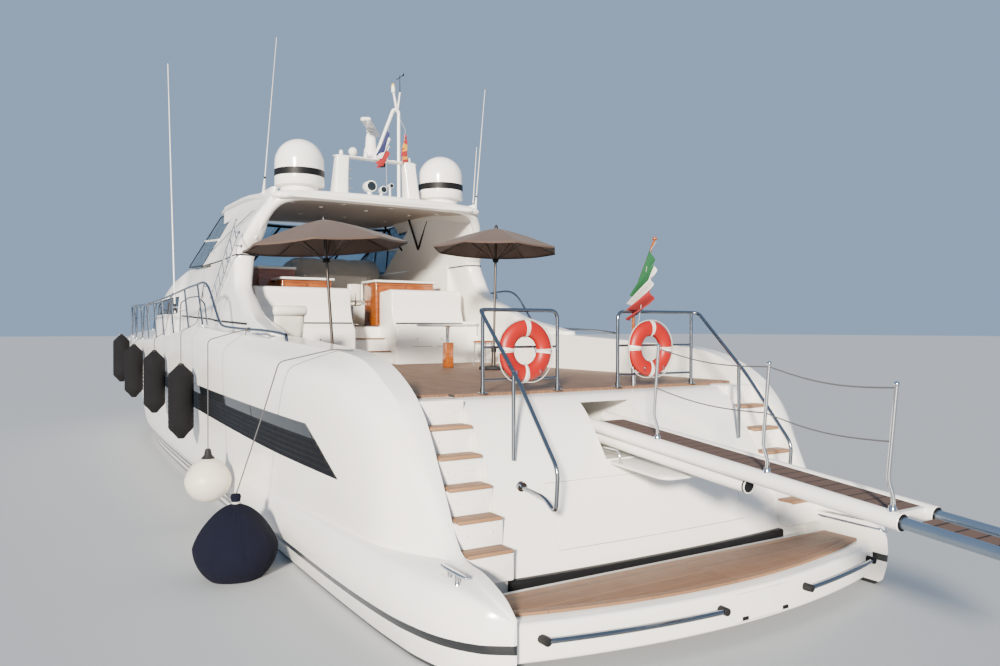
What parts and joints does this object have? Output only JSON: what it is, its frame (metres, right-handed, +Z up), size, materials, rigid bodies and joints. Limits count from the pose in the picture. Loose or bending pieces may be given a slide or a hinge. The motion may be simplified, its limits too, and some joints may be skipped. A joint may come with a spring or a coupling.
{
  "type": "motor yacht",
  "caption": "Open motor yacht afloat: raised cockpit under a hardtop, aft deck, twin stern stairs, bathing platform, telescopic gangway, twin propellers and rudders.",
  "frame": {"origin": "on the centreline amidships, in the plane of the waterline, where the boat floats", "axes": "+X towards the bow, +Y to port, +Z up"},
  "size_m": [27.5349, 6.6915, 9.1655],
  "materials": {
    "gelcoat_white": "glossy white gelcoat",
    "stainless": "polished stainless steel",
    "teak": "bare scrubbed teak with dark caulking",
    "varnished_wood": "varnished orange-brown wood",
    "dark_glass": "smoked window glass",
    "tinted_glass": "blue-grey tinted glass",
    "black_trim": "satin black paint",
    "grey_cover": "quilted grey cover",
    "taupe_canvas": "matt taupe canvas",
    "cushion_white": "off-white marine vinyl",
    "fender_black": "black knitted fender sock",
    "fender_navy": "navy knitted fender sock",
    "fender_white": "white fender vinyl",
    "lifebuoy_orange": "orange-red lifebuoy with white bands",
    "bronze": "cast bronze",
    "ensign_cloth": "woven flag cloth",
    "aluminium": "anodised aluminium"
  },
  "bodies": {
    "yacht": {"hull": "gelcoat_white", "stairs_port": "gelcoat_white", "stairs_starboard": "gelcoat_white", "swim_platform": "gelcoat_white", "platform_teak": "teak", "aft_deck_teak": "teak", "deckhouse": "gelcoat_white", "saloon_window_port": "dark_glass", "saloon_window_starboard": "dark_glass", "arch_port": "gelcoat_white", "arch_starboard": "gelcoat_white", "hardtop": "gelcoat_white", "windscreen_frame": "black_trim", "windscreen_glass": "tinted_glass", "side_glass_port": "tinted_glass", "side_glass_starboard": "tinted_glass", "cockpit_moulding": "gelcoat_white", "bar_port": "varnished_wood", "bar_starboard": "varnished_wood", "helm_console": "grey_cover", "helm_seat": "cushion_white", "bar_stool": "cushion_white", "deck_table": "gelcoat_white", "parasol_pole_port": "aluminium", "parasol_canopy_port": "taupe_canvas", "parasol_pole_starboard": "aluminium", "parasol_canopy_starboard": "taupe_canvas", "dome_port": "gelcoat_white", "dome_starboard": "gelcoat_white", "mast": "gelcoat_white", "guard_rail": "stainless", "aft_rail_port": "stainless", "aft_rail_starboard": "stainless", "lifebuoy_port": "lifebuoy_orange", "lifebuoy_starboard": "lifebuoy_orange", "ensign_staff": "varnished_wood", "ensign": "ensign_cloth", "gangway_flap": "gelcoat_white", "fender_1": "fender_black", "fender_2": "fender_black", "fender_3": "fender_black", "fender_4": "fender_black", "ball_fender_white": "fender_white", "ball_fender_navy": "fender_navy", "bow_anchor": "stainless", "windlass": "stainless", "quarter_cleat_port": "stainless", "quarter_cleat_starboard": "stainless", "intake_port": "black_trim", "intake_starboard": "black_trim"},
    "propeller_port": {"propeller_port": "bronze"},
    "propeller_starboard": {"propeller_starboard": "bronze"},
    "rudder_port": {"rudder_port": "bronze"},
    "rudder_starboard": {"rudder_starboard": "bronze"},
    "radar_scanner": {"radar_scanner": "gelcoat_white"},
    "gangway": {"gangway": "gelcoat_white"},
    "gangway_extension": {"gangway_extension": "aluminium"},
    "platform_hatch": {"platform_hatch": "gelcoat_white"},
    "garage_door": {"garage_door": "gelcoat_white"},
    "companion_door": {"companion_door": "varnished_wood"}
  },
  "joints": [
    {"name": "propeller_port_spin", "type": "hinge", "parent": "yacht", "child": "propeller_port", "pos_m": [-9.1, 1.15, -1.08], "axis": [0.9824, 0, 0.1867], "continuous": true},
    {"name": "propeller_starboard_spin", "type": "hinge", "parent": "yacht", "child": "propeller_starboard", "pos_m": [-9.1, -1.15, -1.08], "axis": [0.9824, 0, 0.1867], "continuous": true},
    {"name": "rudder_port_steer", "type": "hinge", "parent": "yacht", "child": "rudder_port", "pos_m": [-9.8, 1.15, -0.7], "axis": [0, 0, 1], "range_deg": [-35, 35]},
    {"name": "rudder_starboard_steer", "type": "hinge", "parent": "yacht", "child": "rudder_starboard", "pos_m": [-9.8, -1.15, -0.7], "axis": [0, 0, 1], "range_deg": [-35, 35]},
    {"name": "radar_spin", "type": "hinge", "parent": "yacht", "child": "radar_scanner", "pos_m": [-3.1, -0.234, 6.18], "axis": [0, 0, 1], "continuous": true},
    {"name": "gangway_lift", "type": "hinge", "parent": "yacht", "child": "gangway", "pos_m": [-10.0963, 0.1, 1.6152], "axis": [0, 1, 0], "range_deg": [0, 15]},
    {"name": "gangway_extend", "type": "slide", "parent": "gangway", "child": "gangway_extension", "axis": [0.9957, 0, 0.0924], "range_m": [0, 1.6]},
    {"name": "platform_hatch_lid", "type": "hinge", "parent": "yacht", "child": "platform_hatch", "pos_m": [-12.0945, -0.19, 0.153], "axis": [0, -1, 0], "range_deg": [0, 90]},
    {"name": "garage_door_fold", "type": "hinge", "parent": "yacht", "child": "garage_door", "pos_m": [-11.0205, 0, 0.6445], "axis": [0, -1, 0], "range_deg": [0, 100]},
    {"name": "companion_door_swing", "type": "hinge", "parent": "yacht", "child": "companion_door", "pos_m": [2.251, 1.344, 3.13], "axis": [0, 0, -1], "range_deg": [0, 95]}
  ],
  "couplings": [
    {"joint": "rudder_starboard_steer", "follows": "rudder_port_steer", "ratio": 1}
  ]
}
